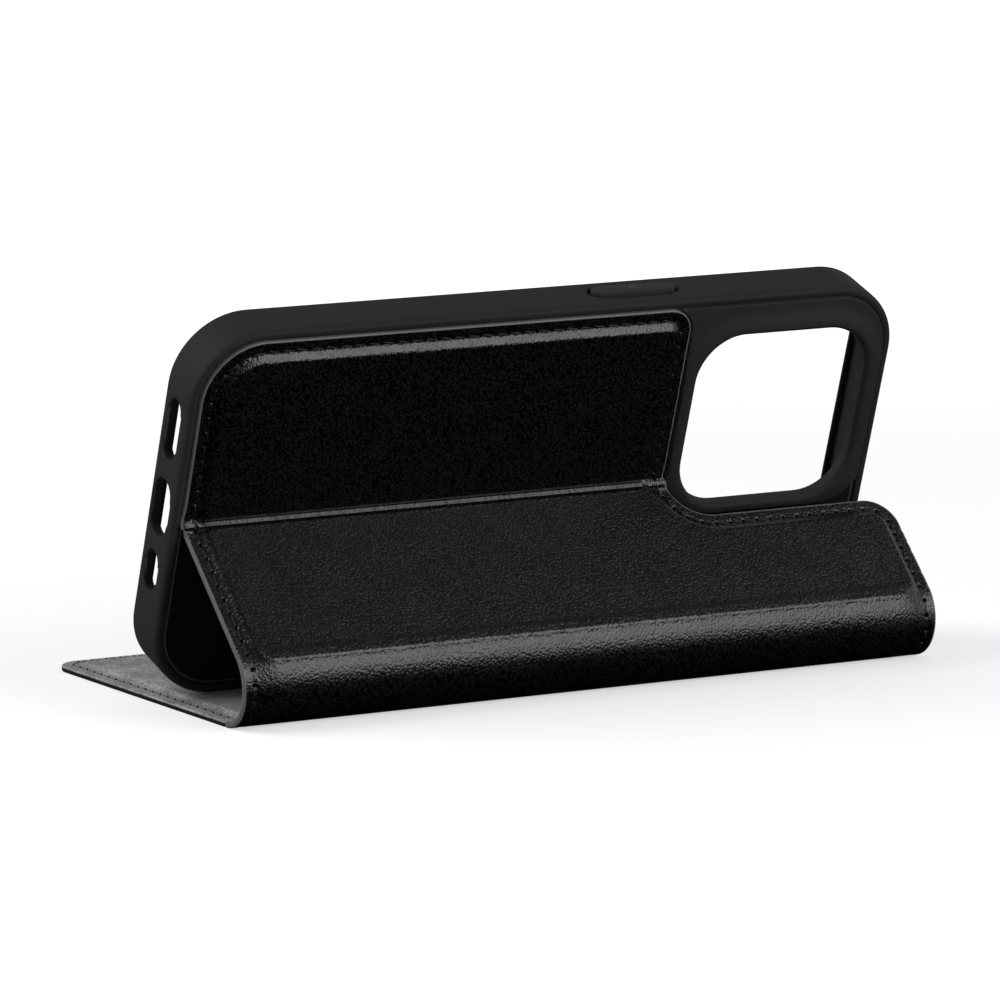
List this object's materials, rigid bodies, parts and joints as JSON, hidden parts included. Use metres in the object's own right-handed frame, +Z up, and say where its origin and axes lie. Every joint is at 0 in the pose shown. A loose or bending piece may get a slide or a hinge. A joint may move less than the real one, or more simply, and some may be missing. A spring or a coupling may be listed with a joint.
{
  "type": "phone wallet case",
  "caption": "Folding leather wallet case with a soft phone shell, shown as a stand: the cover lies flat, a flap props the shell up.",
  "frame": {"origin": "on the table, under the middle of the cover's footprint, at the shell's mid-length", "axes": "+Z up, +X along the phone towards the camera end, +Y across the cover from the spine to its free edge"},
  "size_m": [0.153, 0.0792, 0.0762],
  "materials": {
    "leather": "fine pebble grain, semi-gloss, painted edges",
    "grey_lining": "brushed microfibre",
    "black_lining": "brushed microfibre",
    "pocket_lining": "brushed microfibre",
    "pocket_leaf": "thin split leather, matt",
    "thread": "waxed polyester thread",
    "board": "pressed fibre board",
    "bonding_film": "double sided film",
    "shell_rubber": "satin moulded elastomer",
    "key_rubber": "satin moulded elastomer"
  },
  "bodies": {
    "cover": {"cover_leather": "leather", "cover_board": "board", "cover_lining": "grey_lining", "card_pocket_1": "pocket_leaf", "card_pocket_2": "pocket_leaf", "card_pocket_3": "pocket_leaf", "cover_thread": "thread", "pocket_thread": "thread"},
    "spine": {"spine_leather": "leather", "spine_lining": "grey_lining", "spine_thread": "thread"},
    "flap": {"flap_leather": "leather", "flap_board": "board", "flap_lining": "black_lining", "flap_thread": "thread"},
    "holder": {"bumper_shell": "shell_rubber", "shell_lining": "pocket_lining", "panel_adhesive": "bonding_film", "upper_board": "board", "upper_leather": "leather", "upper_thread": "thread"},
    "side_button": {"side_button": "key_rubber"},
    "volume_up": {"volume_up": "key_rubber"},
    "volume_down": {"volume_down": "key_rubber"}
  },
  "joints": [
    {"name": "cover_fold", "type": "hinge", "parent": "cover", "child": "spine", "pos_m": [0, -0.031, 0], "axis": [1, 0, 0], "range_deg": [0, 65]},
    {"name": "spine_crease", "type": "hinge", "parent": "spine", "child": "flap", "pos_m": [0, -0.03757, 0.01414], "axis": [1, 0, 0], "range_deg": [0, 65]},
    {"name": "back_fold", "type": "hinge", "parent": "flap", "child": "holder", "pos_m": [0, -0.01884, 0.03448], "axis": [-1, 0, 0], "range_deg": [0, 59]},
    {"name": "side_button_press", "type": "slide", "parent": "holder", "child": "side_button", "axis": [0, 0.3256, -0.9455], "range_m": [0, 0.00035], "stiffness_N_per_m": 600},
    {"name": "volume_up_press", "type": "slide", "parent": "holder", "child": "volume_up", "axis": [0, -0.3256, 0.9455], "range_m": [0, 0.00035], "stiffness_N_per_m": 600},
    {"name": "volume_down_press", "type": "slide", "parent": "holder", "child": "volume_down", "axis": [0, -0.3256, 0.9455], "range_m": [0, 0.00035], "stiffness_N_per_m": 600}
  ],
  "couplings": [
    {"joint": "spine_crease", "follows": "back_fold", "ratio": 1.1}
  ]
}
